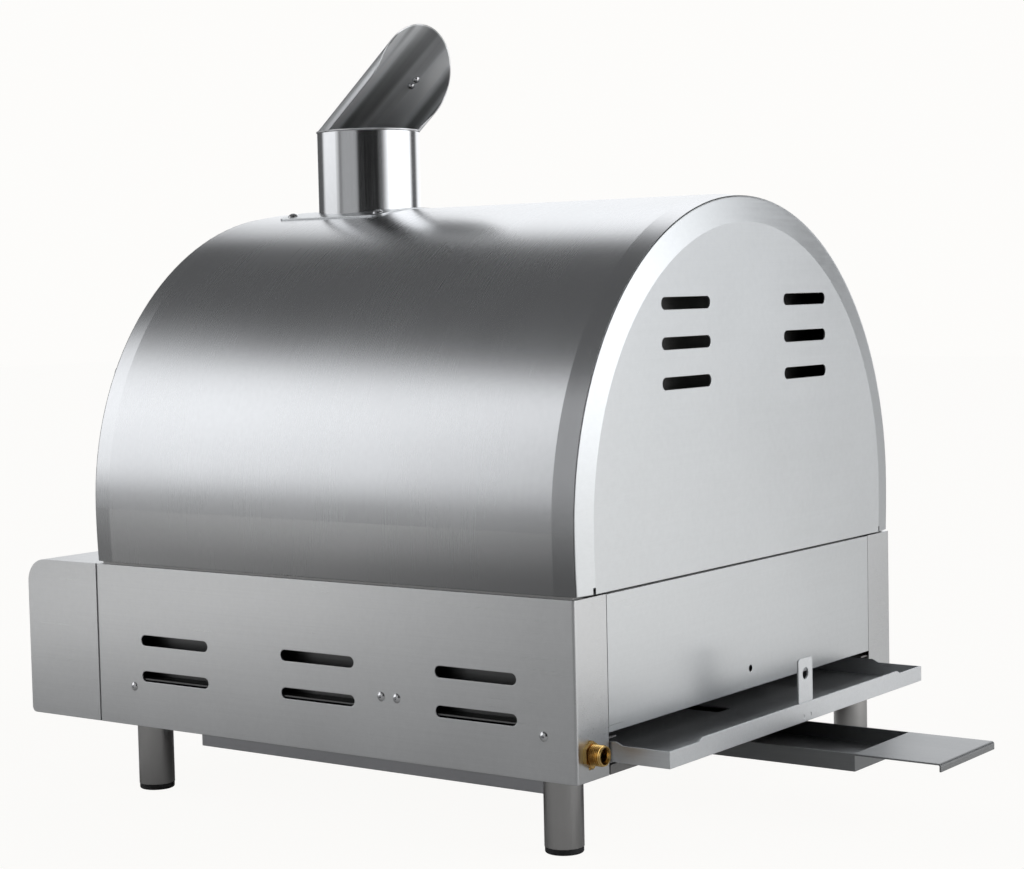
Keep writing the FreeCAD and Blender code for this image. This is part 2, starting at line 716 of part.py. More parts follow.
# ---------------------------------------------------------------- chimney
plate_half = plate_size / 2.0
saddle = rod(0, chimney_y - plate_size, arch_z, (0, 1, 0), arch_r + sheet, 2 * plate_size)
saddle = saddle.cut(rod(0, chimney_y - 2 * plate_size, arch_z, (0, 1, 0), arch_r, 4 * plate_size))
plate_outline = plan_prism(
    [(-plate_half, chimney_y - plate_half), (plate_half, chimney_y - plate_half),
     (plate_half, chimney_y + plate_half), (-plate_half, chimney_y + plate_half)],
    [plate_corner] * 4, arch_z + arch_r * 0.6, arch_z + arch_r + 20.0)
chimney_plate = saddle.common(plate_outline).cut(chimney_bore)

pipe = ring(0, chimney_y, arch_z + arch_r * 0.6, (0, 0, 1), chimney_radius,
            chimney_radius - chimney_wall, chimney_top_z - arch_z - arch_r * 0.6)
pipe = pipe.cut(rod(0, chimney_y - plate_size, arch_z, (0, 1, 0), liner_r, 2 * plate_size))
save("chimney_pipe", pipe)

pan_screws = []
screw_angle = math.asin(plate_screw_pitch / 2.0 / (arch_r + sheet))
for side in (-1, 1):
    for along in (-1, 1):
        out = (side * math.sin(screw_angle), 0.0, math.cos(screw_angle))
        top_r = arch_r + sheet
        place = (out[0] * top_r, chimney_y + along * plate_screw_pitch / 2.0,
                 arch_z + out[2] * top_r)
        pan_screws.append(pan_screw(place[0], place[1], place[2], out))
        hole = rod(place[0] - out[0] * 10.0, place[1], place[2] - out[2] * 10.0, out, screw_radius, 20.0)
        chimney_plate = chimney_plate.cut(hole)
        dome = dome.cut(hole)
save("chimney_base_plate", chimney_plate)
save("dome_shell", dome)

lean = math.radians(cowl_tilt)
hood_z = chimney_top_z + cowl_lift
hood_reach = 160.0
hood_run = vec(math.sin(lean) * hood_reach, 0, math.cos(lean) * hood_reach)
hood_outer = Part.Face(Part.Wire(Part.makeCircle(cowl_radius, vec(0, 0, 0)))).extrude(hood_run)
hood_inner = Part.Face(Part.Wire(Part.makeCircle(cowl_radius - sheet, vec(0, 0, 0)))).extrude(hood_run)
hood = hood_outer.cut(hood_inner)


def hood_base(angle):
    turn = math.radians(angle)
    return vec(cowl_radius * math.cos(turn), cowl_radius * math.sin(turn), 0)


# The hood is kept behind a front plane along its run and below a sloping top plane.
run_way = vec(math.sin(lean), 0, math.cos(lean))
front_normal = (hood_base(cowl_edge_high) - hood_base(cowl_edge_low)).cross(run_way).normalize()
open_way = hood_base((cowl_edge_low + cowl_edge_high) / 2.0)
if front_normal.dot(open_way) < 0:
    front_normal = front_normal * -1.0
slope = cowl_slope_height / cowl_radius
crown = hood_base(cowl_crown_angle).normalize()
top_normal = vec(-slope * crown.x, -slope * crown.y, 1.0 + slope * crown.x * math.tan(lean))
top_reach = cowl_mean_height / top_normal.Length
top_normal = top_normal.normalize()
along = front_normal.cross(top_normal).normalize()
front_level = front_normal.dot(hood_base(cowl_edge_low))
spread = front_normal.dot(top_normal)
corner_place = (front_normal * ((front_level - spread * top_reach) / (1.0 - spread ** 2))
                + top_normal * ((top_reach - spread * front_level) / (1.0 - spread ** 2)))
down_front = along.cross(front_normal)
if down_front.dot(top_normal) > 0:
    down_front = down_front * -1.0
down_top = along.cross(top_normal)
if down_top.dot(front_normal) > 0:
    down_top = down_top * -1.0
across_front = down_top - down_front * down_top.dot(down_front)
across_front = across_front.normalize()
wedge_reach = 400.0
top_run = (down_top.dot(down_front) * wedge_reach, down_top.dot(across_front) * wedge_reach)
keep_face = rounded_face(
    [(0.0, 0.0), (wedge_reach, 0.0), (wedge_reach + top_run[0], top_run[1]), top_run],
    [cowl_corner, 0, 0, 0],
    lambda u, v: corner_place - along * wedge_reach + down_front * u + across_front * v)
hood = hood.common(keep_face.extrude(along * (2 * wedge_reach)))
spigot_radius = chimney_radius - chimney_wall - running_clearance
collar = Part.makeCylinder(cowl_radius, sheet).cut(Part.makeCylinder(spigot_radius - sheet, sheet))
spigot = Part.makeCylinder(spigot_radius, cowl_spigot_depth + sheet, vec(0, 0, -cowl_spigot_depth))
spigot = spigot.cut(Part.makeCylinder(spigot_radius - sheet, cowl_spigot_depth + 3.0,
                                      vec(0, 0, -cowl_spigot_depth - 1.0)))
cowl = join([hood, collar, spigot])
cowl_rivets = []
rivet_angle = math.radians(cowl_rivet_angle)
for rise in (cowl_rivet_rise, cowl_rivet_rise + cowl_rivet_spacing):
    wall_place = vec(math.tan(lean) * rise + math.cos(rivet_angle) * (cowl_radius - sheet),
                     math.sin(rivet_angle) * (cowl_radius - sheet), rise)
    outward = vec(math.cos(rivet_angle), math.sin(rivet_angle), 0)
    ball = Part.makeSphere(rivet_head_radius, wall_place + outward * 1.2)
    cowl_rivets.append(ball.common(hood_inner))
turn_placement = FreeCAD.Placement(
    vec(0, chimney_y, hood_z), FreeCAD.Rotation(vec(0, 0, 1), cowl_turn))
cowl.Placement = turn_placement
for shape in cowl_rivets:
    shape.Placement = turn_placement
save("chimney_cowl", cowl)
save("cowl_rivets", cowl_rivets)

# ---------------------------------------------------------------- control box
control_bottom_z = base_bottom_z
outer = side_prism(
    [(seam_y, control_bottom_z), (front_y, control_bottom_z), (front_y, base_top_z),
     (seam_y, base_top_z)], [0, 4.0, control_corner, 0], -half, half)
inner = side_prism(
    [(seam_y + 1.0, control_bottom_z + control_sheet),
     (front_y + control_sheet, control_bottom_z + control_sheet),
     (front_y + control_sheet, base_top_z - control_sheet),
     (seam_y + 1.0, base_top_z - control_sheet)],
    [0, 4.0 - control_sheet, control_corner - control_sheet, 0],
    -half + control_sheet, half - control_sheet)
control_box = outer.cut(inner)
for side in (-1, 1):
    edge = side * (half - control_sheet / 2.0)
    inner_edge = side * (half - front_flange_width)
    control_box = control_box.fuse(block(
        min(edge, inner_edge), max(edge, inner_edge), seam_y - control_sheet, seam_y,
        control_bottom_z + control_sheet / 2.0, base_top_z - control_sheet / 2.0))
control_box = control_box.removeSplitter()
for side in (-1, 1):
    control_box = control_box.cut(rod(side * knob_x, front_y - 1.0, control_z, (0, 1, 0), 6.0, 5.0))
control_box = control_box.cut(rod(0, front_y - 1.0, control_z, (0, 1, 0), igniter_radius, 5.0))
save("control_box", control_box)

rings = []
for side in (-1, 1):
    rings.append(ring(side * knob_x, front_y - 1.2, control_z, (0, 1, 0), knob_radius + 5.0, 8.0, 1.2))
save("knob_bezels", rings)


def knob(side):
    x = side * knob_x
    start = front_y - knob_gap
    skirt = Part.makeCone(knob_radius + 1.0, knob_radius, 6.0, vec(x, start, control_z), vec(0, -1, 0))
    barrel = Part.makeCone(knob_radius - 4.0, knob_radius - 5.5, knob_length - 6.0,
                           vec(x, start - 6.0, control_z), vec(0, -1, 0))
    grip = block(x - 5.0, x + 5.0, start - knob_length - knob_grip_proud, start - 6.0,
                 control_z - knob_radius + 1.5, control_z + knob_radius - 1.5)
    body = join([skirt, barrel, grip])
    mark = block(x - 0.8, x + 0.8, start - knob_length - 4.0, start - knob_length - 2.4,
                 control_z + 4.0, control_z + knob_radius)
    bore = rod(x, start + 1.0, control_z, (0, -1, 0), stem_radius, 17.0)
    return body.cut(mark).cut(bore)


save("knob_left", knob(-1))
save("knob_right", knob(1))

stem_front_y = front_y - 18.7
stem_rear_y = front_y + 17.0
valves = []
for side in (-1, 1):
    x = side * knob_x
    stem = rod(x, stem_front_y, control_z, (0, 1, 0), stem_radius, stem_rear_y - stem_front_y)
    name = "valve_stem_right" if side > 0 else "valve_stem_left"
    save(name, stem)
    nose = rod(x, front_y + 4.0, control_z, (0, 1, 0), valve_radius - 3.0, 8.0)
    body = rod(x, front_y + 12.0, control_z, (0, 1, 0), valve_radius, 26.0)
    foot = rod(x, manifold_y, manifold_z, (0, 0, 1), 5.5, manifold_drop)
    jet = rod(x, front_y + 36.0, control_z, (0, 1, 0), 4.0, burner_front_y - front_y - 30.0)
    valve = join([nose, body, foot, jet])
    valve = valve.cut(rod(x, front_y, control_z, (0, 1, 0), stem_radius + running_clearance,
                          stem_rear_y - front_y + 0.5))
    valve = valve.cut(rod(0, manifold_y, manifold_z, (1, 0, 0), manifold_radius, half))
    valve = valve.cut(rod(0, manifold_y, manifold_z, (-1, 0, 0), manifold_radius, half))
    valves.append(valve)
save("gas_valves", valves)

manifold_right = knob_x + 46.0
manifold_left = -knob_x - 24.0
manifold = rod(manifold_left, manifold_y, manifold_z, (1, 0, 0), manifold_radius,
               manifold_right - manifold_left)
manifold = manifold.cut(rod(manifold_left + 3.0, manifold_y, manifold_z, (1, 0, 0),
                            manifold_radius - 1.5, manifold_right - manifold_left - 6.0))
manifold = manifold.cut(rod(manifold_right - 4.0, manifold_y, manifold_z, (1, 0, 0), pipe_radius, 5.0))
save("gas_manifold", manifold)

# ---------------------------------------------------------------- gas inlet
pipe_start_y = rear_y - inlet_body_length + 4.0
path_points = [
    vec(inlet_x, pipe_start_y, inlet_z), vec(inlet_x, manifold_y, inlet_z),
    vec(inlet_x, manifold_y, manifold_z), vec(manifold_right - 3.0, manifold_y, manifold_z)]


def bent_tube(points, bend, outer_radius, wall):
    edges = []
    here = points[0]
    for i in range(1, len(points) - 1):
        corner = points[i]
        back = (points[i - 1] - corner).normalize()
        ahead = (points[i + 1] - corner).normalize()
        start = corner + back * bend
        finish = corner + ahead * bend
        middle = corner + (back + ahead) * bend * (1.0 - math.sqrt(0.5))
        edges.append(Part.makeLine(here, start))
        edges.append(Part.Arc(start, middle, finish).toShape())
        here = finish
    edges.append(Part.makeLine(here, points[-1]))
    path = Part.Wire(edges)
    run = (points[1] - points[0]).normalize()
    results = []
    for radius in (outer_radius, outer_radius - wall):
        profile = Part.Wire(Part.makeCircle(radius, points[0], run))
        results.append(path.makePipeShell([profile], True, False))
    return results[0].cut(results[1])


save("gas_inlet_pipe", bent_tube(path_points, pipe_bend, pipe_radius, pipe_wall))

thread_root = thread_radius - 0.86
thread_start = inlet_hex_height
thread_end = thread_start + thread_pitch * thread_turns
fitting_points = [(inlet_bore_radius, -inlet_body_length), (inlet_body_radius, -inlet_body_length),
                  (inlet_body_radius, 0.0), (thread_root, 0.0), (thread_root, thread_start)]
for index in range(thread_turns):
    at = thread_start + index * thread_pitch
    fitting_points.append((thread_root, at + 0.12 * thread_pitch))
    fitting_points.append((thread_radius, at + 0.42 * thread_pitch))
    fitting_points.append((thread_radius, at + 0.58 * thread_pitch))
    fitting_points.append((thread_root, at + 0.88 * thread_pitch))
fitting_points.append((thread_radius - 0.5, thread_end))
fitting_points.append((thread_radius - 0.5, thread_end + 0.8))
fitting_points.append((inlet_bore_radius + 0.7, thread_end + 0.8))
fitting_points.append((inlet_bore_radius, thread_end - 1.0))
fitting_edges = []
for index in range(len(fitting_points)):
    r0, a0 = fitting_points[index]
    r1, a1 = fitting_points[(index + 1) % len(fitting_points)]
    fitting_edges.append(Part.makeLine(vec(inlet_x + r0, rear_y + a0, inlet_z),
                                       vec(inlet_x + r1, rear_y + a1, inlet_z)))
fitting = Part.Face(Part.Wire(fitting_edges)).revolve(
    vec(inlet_x, rear_y, inlet_z), vec(0, 1, 0), 360)
collar_hex = hex_prism(inlet_x, rear_y, inlet_z, (0, 1, 0), inlet_hex_flats, inlet_hex_height)
collar_hex = collar_hex.cut(rod(inlet_x, rear_y - 1.0, inlet_z, (0, 1, 0), inlet_bore_radius,
                                inlet_hex_height + 2.0))
fitting = fitting.fuse(collar_hex)
fitting = fitting.cut(rod(inlet_x, rear_y - inlet_body_length - 1.0, inlet_z, (0, 1, 0),
                          pipe_radius, 6.0))
save("gas_inlet_fitting", fitting.removeSplitter())

nut = hex_prism(inlet_x, rear_y - sheet - 5.0, inlet_z, (0, 1, 0), 20.0, 5.0)
nut = nut.cut(rod(inlet_x, rear_y - 10.0, inlet_z, (0, 1, 0), inlet_body_radius, 12.0))
save("gas_inlet_locknut", nut)

# ---------------------------------------------------------------- igniter
igniter = join([
    rod(0, front_y - 2.5, control_z, (0, 1, 0), igniter_radius + 3.5, 2.5),
    rod(0, front_y - 2.5, control_z, (0, 1, 0), igniter_radius, 50.0)])
igniter = igniter.cut(rod(0, front_y - 3.0, control_z, (0, 1, 0),
                          button_radius + button_clearance, 35.0))
save("igniter_body", igniter)
button = rod(0, front_y - 2.5 - button_reach, control_z, (0, 1, 0), button_radius, button_reach + 20.0)
button_rim = []
for edge in button.Edges:
    box = edge.BoundBox
    if box.YLength < 1e-6 and abs(box.YMin - (front_y - 2.5 - button_reach)) < 1e-6:
        button_rim.append(edge)
save("igniter_button", button.makeFillet(1.5, button_rim))

# ---------------------------------------------------------------- door
def door_outline(inset, y0, y1):
    w = door_half_width - inset
    return front_prism(
        [(-w, door_bottom_z + inset), (w, door_bottom_z + inset),
         (w, door_top_z - inset), (-w, door_top_z - inset)],
        [6.0 - inset, 6.0 - inset, door_top_radius - inset, door_top_radius - inset], y0, y1)


def window(margin, y0, y1, corner):
    w = window_half_width + margin
    return front_prism(
        [(-w, window_bottom_z - margin), (w, window_bottom_z - margin),
         (w, window_top_z + margin), (-w, window_top_z + margin)], [corner] * 4, y0, y1)


door_panel = door_outline(0.0, door_face_y, door_back_y)
door_panel = door_panel.cut(door_outline(door_sheet, door_face_y + door_sheet, door_back_y + 1.0))
door_panel = door_panel.cut(window(0.0, door_face_y - 1.0, door_face_y + 3.0, window_corner))
pin_length = 14.0
pin_start = door_half_width - 4.0
for side in (-1, 1):
    door_panel = door_panel.cut(rod(side * pin_start, hinge_y, hinge_z, (side, 0, 0),
                                    hinge_pin_radius, pin_length))
glass_y = door_face_y + door_sheet
glass = window(glass_margin, glass_y, glass_y + glass_thickness, 4.0)
save("door_glass", glass)
retainer_y = glass_y + glass_thickness
retainer = window(glass_margin + 8.0, retainer_y, retainer_y + sheet, 8.0)
retainer = retainer.cut(window(-4.0, retainer_y - 1.0, retainer_y + 2.0, 6.0))
door_inner = door_outline(door_sheet, door_back_y - 3.0, door_back_y - 2.0)
door_inner = door_inner.cut(window(-4.0, door_back_y - 5.0, door_back_y, 8.0))
screw_x = window_half_width + glass_margin + 4.0
for side in (-1, 1):
    for screw_z in (window_bottom_z + 4.0, window_top_z - 4.0):
        retainer = retainer.cut(rod(side * screw_x, glass_y, screw_z, (0, 1, 0), 2.0, 20.0))
        door_inner = door_inner.cut(rod(side * screw_x, glass_y, screw_z, (0, 1, 0), 2.0, 30.0))
stud_end_y = door_back_y - 2.0
door_studs = []
for side in (-1, 1):
    for screw_z in (window_bottom_z + 4.0, window_top_z - 4.0):
        stud = rod(side * screw_x, glass_y, screw_z, (0, 1, 0), 2.0, stud_end_y - glass_y)
        cap = rod(side * screw_x, stud_end_y, screw_z, (0, 1, 0), 4.0, 1.4)
        door_studs.append(join([stud, cap]))
save("door_screws", door_studs)
save("door_glass_retainer", retainer)
save("door_inner_panel", door_inner)

handle_y = door_face_y - handle_reach
handle = rod(-handle_half_length, handle_y, handle_z, (1, 0, 0), handle_radius, 2 * handle_half_length)
handle = handle.cut(rod(-handle_half_length + 3.0, handle_y, handle_z, (1, 0, 0),
                        handle_radius - 1.5, 2 * handle_half_length - 6.0))
handle_rims = []
for edge in handle.Edges:
    bound = edge.BoundBox
    if bound.XLength < 1e-6 and abs(abs(bound.XMin) - handle_half_length) < 1e-6:
        handle_rims.append(edge)
handle = handle.makeFillet(2.0, handle_rims)
posts = []
for side in (-1, 1):
    post_x = side * handle_post_x
    post = rod(post_x, handle_y, handle_z, (0, 1, 0), handle_post_radius,
               door_face_y + 5.0 - handle_y)
    collar = rod(post_x, door_face_y - 3.0, handle_z, (0, 1, 0), handle_post_radius + 3.0, 3.0)
    post = join([post, collar]).cut(rod(-half, handle_y, handle_z, (1, 0, 0), handle_radius,
                                        overall_width))
    posts.append(post)
    door_panel = door_panel.cut(rod(post_x, door_face_y - 1.0, handle_z, (0, 1, 0),
                                    handle_post_radius, 6.0))
save("door_outer_panel", door_panel)
save("door_handle_bar", handle)
save("door_handle_posts", posts)

pins = []
brackets = []
ear_x = door_half_width + 1.0
ear_width = 3.0
for side in (-1, 1):
    pins.append(rod(side * pin_start, hinge_y, hinge_z, (side, 0, 0), hinge_pin_radius, pin_length))
    x0 = min(side * ear_x, side * (ear_x + ear_width))
    x1 = max(side * ear_x, side * (ear_x + ear_width))
    ear = side_prism(
        [(hinge_y - 6.0, hinge_z - 7.0), (cap_front_y, hinge_z - 9.0),
         (cap_front_y, hinge_z + 11.0), (hinge_y - 6.0, hinge_z + 7.0)], [5, 0, 0, 5], x0, x1)
    x2 = min(side * ear_x, side * (ear_x + 18.0))
    x3 = max(side * ear_x, side * (ear_x + 18.0))
    foot = block(x2, x3, cap_front_y - 1.5, cap_front_y, hinge_z - 9.0, hinge_z + 11.0)
    bracket = join([ear, foot])
    bracket = bracket.cut(rod(side * (ear_x - 1.0), hinge_y, hinge_z, (side, 0, 0),
                              hinge_pin_radius + running_clearance, 6.0))
    for screw_z in (hinge_z - 4.0, hinge_z + 6.5):
        at_x = side * (ear_x + 11.5)
        pan_screws.append(pan_screw(at_x, cap_front_y - 1.5, screw_z, (0, -1, 0)))
        hole = rod(at_x, cap_front_y - 5.0, screw_z, (0, 1, 0), screw_radius, 12.0)
        bracket = bracket.cut(hole)
        front_frame = front_frame.cut(hole)
    brackets.append(bracket)
save("door_hinge_pins", pins)
save("door_hinge_brackets", brackets)
save("pan_head_screws", pan_screws)
save("front_frame", front_frame.cut(liner))

# ---------------------------------------------------------------- thermometer
gauge_y = cap_front_y - gauge_depth
case = rod(0, gauge_y, gauge_z, (0, 1, 0), gauge_radius, gauge_depth)
case = case.cut(rod(0, gauge_y - 1.0, gauge_z, (0, 1, 0), gauge_radius - 3.0, gauge_depth - 1.0))
case = case.cut(rod(0, gauge_y, gauge_z, (0, 1, 0), 3.0, gauge_depth + 1.0))
save("thermometer_case", case)
dial = ring(0, cap_front_y - 4.0, gauge_z, (0, 1, 0), gauge_radius - 3.0, 1.3, 1.0)
lens = rod(0, gauge_y + 1.0, gauge_z, (0, 1, 0), gauge_radius - 3.0, 1.5)
save("thermometer_lens", lens)
gauge_ticks = []
for index in range(13):
    angle = math.radians(225.0 - 22.5 * index)
    tick = block(gauge_radius - 10.0, gauge_radius - 5.5, -5.0, 5.0, -0.5, 0.5)
    tick.Placement = FreeCAD.Placement(
        vec(0, cap_front_y - 8.9, gauge_z), FreeCAD.Rotation(vec(0, 1, 0), -math.degrees(angle)))
    gauge_ticks.append(tick)
dial = dial.cut(Part.makeCompound(gauge_ticks))
save("thermometer_dial", dial)
gauge_stem = join([
    rod(0, cap_front_y - 6.5, gauge_z, (0, 1, 0), 1.3, 4.0),
    rod(0, cap_front_y - 3.0, gauge_z, (0, 1, 0), 3.0, 50.0)])
save("thermometer_stem", gauge_stem)
needle_y = cap_front_y - 6.0
needle = join([
    rod(0, needle_y, gauge_z, (0, 1, 0), 3.0, 1.0),
    block(-0.8, 0.8, needle_y, needle_y + 1.0, gauge_z, gauge_z + gauge_radius - 8.0),
    block(-1.4, 1.4, needle_y, needle_y + 1.0, gauge_z - 8.0, gauge_z)])
needle = needle.cut(rod(0, needle_y - 1.0, gauge_z, (0, 1, 0), 1.3 + running_clearance, 3.0))
needle.rotate(vec(0, needle_y, gauge_z), vec(0, 1, 0), -135.0)
save("thermometer_needle", needle)

# ---------------------------------------------------------------- drip tray, its tab and rails
tray_front_y = tray_rear_y - tray_length
low_z = tray_bottom_z + tray_low_edge
high_z = tray_bottom_z + tray_high_edge
step_out = tray_step_in
step_in = tray_step_in + tray_step_run


def stepped(a, b):
    return [(a, tray_bottom_z), (b, tray_bottom_z), (b, low_z), (b - step_out, low_z),
            (b - step_in, high_z), (a + step_in, high_z), (a + step_out, low_z), (a, low_z)]


w = tray_half_width
tray = join([
    block(-w, w, tray_front_y, tray_rear_y, tray_bottom_z, tray_bottom_z + tray_sheet),
    side_prism(stepped(tray_front_y, tray_rear_y), [0] * 8, w - tray_sheet, w),
    side_prism(stepped(tray_front_y, tray_rear_y), [0] * 8, -w, -w + tray_sheet),
    front_prism(stepped(-w, w), [0] * 8, tray_rear_y - tray_sheet, tray_rear_y),
    front_prism(stepped(-w, w), [0] * 8, tray_front_y, tray_front_y + tray_sheet)])
drain_rear_y = tray_rear_y - drain_inset
tray = tray.cut(plan_prism(
    [(-drain_width / 2.0, drain_rear_y - drain_length), (drain_width / 2.0, drain_rear_y - drain_length),
     (drain_width / 2.0, drain_rear_y), (-drain_width / 2.0, drain_rear_y)], [2.0] * 4,
    tray_bottom_z - 1.0, tray_bottom_z + 3.0))
for side in (-1, 1):
    tray = tray.cut(rod(side * 4.9, tray_rear_y - 0.2, tray_bottom_z + 3.6, (0, 1, 0), 1.3, 1.0))
save("drip_tray", tray)

tab_half = tab_width / 2.0
tab_rear_y = tray_rear_y - tray_sheet
tab = front_prism(
    [(-tab_half, tray_bottom_z + tray_sheet), (tab_half, tray_bottom_z + tray_sheet),
     (tab_half, tab_top_z), (-tab_half, tab_top_z)], [0, 0, 2.5, 2.5],
    tab_rear_y - tab_sheet, tab_rear_y)
tab = tab.cut(rod(0, tab_rear_y - 5.0, catch_z, (0, 1, 0), tab_hole_radius, 10.0))
save("drip_tray_tab", tab)

rail_inner = tray_half_width + rail_play
rail_front_y = bulkhead_y + 14.0
rail_rear_y = rear_y - sheet - seam_gap
rail_low_z = tray_bottom_z - 1.4
rail_high_z = high_z + 1.4


def tray_rail():
    return join([
        block(rail_inner, rail_inner + sheet, rail_front_y, rail_rear_y,
              floor_z + sheet, rail_high_z + sheet),
        block(rail_inner - rail_lower_width, rail_inner, rail_front_y, rail_rear_y,
              rail_low_z, rail_low_z + sheet),
        block(rail_inner - 9.0, rail_inner, rail_front_y, rail_rear_y,
              rail_high_z, rail_high_z + sheet),
        block(rail_inner, rail_inner + rail_foot_width, rail_front_y, rail_rear_y,
              floor_z + sheet, floor_z + 2 * sheet)])


rail = tray_rail()
save("tray_rails", [rail, mirrored(rail)])

# ---------------------------------------------------------------- housing and grease tray
housing = block(-housing_x, housing_x, housing_front_y, housing_rear_y, housing_z, base_bottom_z)
housing = housing.cut(block(-housing_x + sheet, housing_x - sheet, housing_front_y + sheet,
                            housing_rear_y - sheet, housing_z + sheet, base_bottom_z + 1.0))
for side in (-1, 1):
    a = side * (housing_x - sheet / 2.0)
    b = side * (housing_x - housing_flange)
    housing = housing.fuse(block(min(a, b), max(a, b), housing_front_y + sheet / 2.0,
                                 housing_rear_y - sheet / 2.0, base_bottom_z - sheet, base_bottom_z))
housing = housing.removeSplitter()
slot_half = grease_half_width + grease_play + sheet + 0.8
housing = housing.cut(block(-slot_half, slot_half, housing_rear_y - 3 * sheet, housing_rear_y + sheet,
                            housing_z + sheet, base_bottom_z + 1.0))
save("under_housing", housing)

guides = []
guide_inner = grease_half_width + grease_play
for side in (-1, 1):
    a = side * guide_inner
    b = side * (guide_inner + sheet)
    c = side * (guide_inner + 11.0)
    upright = block(min(a, b), max(a, b), housing_front_y + 4.0, housing_rear_y - 2 * sheet,
                    housing_z + sheet, base_bottom_z - 2.0)
    foot = block(min(a, c), max(a, c), housing_front_y + 4.0, housing_rear_y - 4 * sheet,
                 housing_z + sheet, housing_z + 2 * sheet)
    guides.append(join([upright, foot]))
save("grease_tray_guides", guides)

g = grease_half_width
grease_front_y = grease_rear_y - grease_length
grease_top_z = grease_z + grease_height
grease = block(-g, g, grease_front_y, grease_rear_y, grease_z, grease_top_z)
grease = grease.cut(block(-g + grease_sheet, g - grease_sheet, grease_front_y + grease_sheet,
                          grease_rear_y - grease_sheet, grease_z + grease_sheet, grease_top_z + 1.0))
handle_end_y = grease_rear_y + grease_handle
lip_z = grease_top_z - grease_lip
pull = side_prism(
    [(grease_rear_y - grease_sheet, grease_top_z - grease_sheet),
     (handle_end_y - grease_sheet, grease_top_z - grease_sheet),
     (handle_end_y - grease_sheet, lip_z), (handle_end_y, lip_z),
     (handle_end_y, grease_top_z), (grease_rear_y - grease_sheet, grease_top_z)],
    [0, 0.8, 0, 0, 1.8, 0], -g, g)
save("grease_tray", join([grease, pull]))

# ---------------------------------------------------------------- legs
leg_tubes = []
pads = []
leg_screws = []
for side_x in (-foot_x, foot_x):
    for side_y in (foot_front_y, foot_rear_y):
        leg = rod(side_x, side_y, pad_height, (0, 0, 1), leg_radius, base_bottom_z - pad_height)
        leg = leg.cut(rod(side_x, side_y, pad_height - 1.0, (0, 0, 1), leg_radius - leg_wall,
                          base_bottom_z - pad_height - 4.0))
        leg = leg.cut(rod(side_x, side_y, pad_height, (0, 0, 1), 4.0, base_bottom_z))
        leg_tubes.append(leg)
        pad = join([
            rod(side_x, side_y, 0, (0, 0, 1), leg_radius - 0.3, pad_height),
            rod(side_x, side_y, pad_height, (0, 0, 1), leg_radius - leg_wall, pad_plug_height)])
        rim = []
        for edge in pad.Edges:
            bound = edge.BoundBox
            if bound.ZMax < 1e-6 and bound.XLength > leg_radius:
                rim.append(edge)
        pads.append(pad.makeFillet(1.2, rim))
        bolt = join([
            rod(side_x, side_y, base_bottom_z - 9.0, (0, 0, 1), 4.0, 9.0 + 2 * sheet),
            hex_prism(side_x, side_y, floor_z + sheet, (0, 0, 1), 13.0, 5.0)])
        leg_screws.append(bolt)
save("leg_tubes", leg_tubes)
save("foot_pads", pads)
save("leg_screws", leg_screws)
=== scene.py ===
import math

import bpy
from mathutils import Matrix, Vector

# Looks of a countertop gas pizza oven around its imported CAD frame. Metres, +Z up, front towards -Y.

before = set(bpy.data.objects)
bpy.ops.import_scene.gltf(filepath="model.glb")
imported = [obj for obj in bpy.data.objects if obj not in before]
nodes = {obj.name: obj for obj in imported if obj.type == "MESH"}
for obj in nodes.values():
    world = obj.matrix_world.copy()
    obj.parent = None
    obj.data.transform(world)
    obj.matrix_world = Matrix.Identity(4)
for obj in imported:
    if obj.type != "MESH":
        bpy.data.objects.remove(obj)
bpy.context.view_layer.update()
scene = bpy.context.scene


# ------------------------------------------------------------ node helpers
BEVEL_SAMPLES = 4


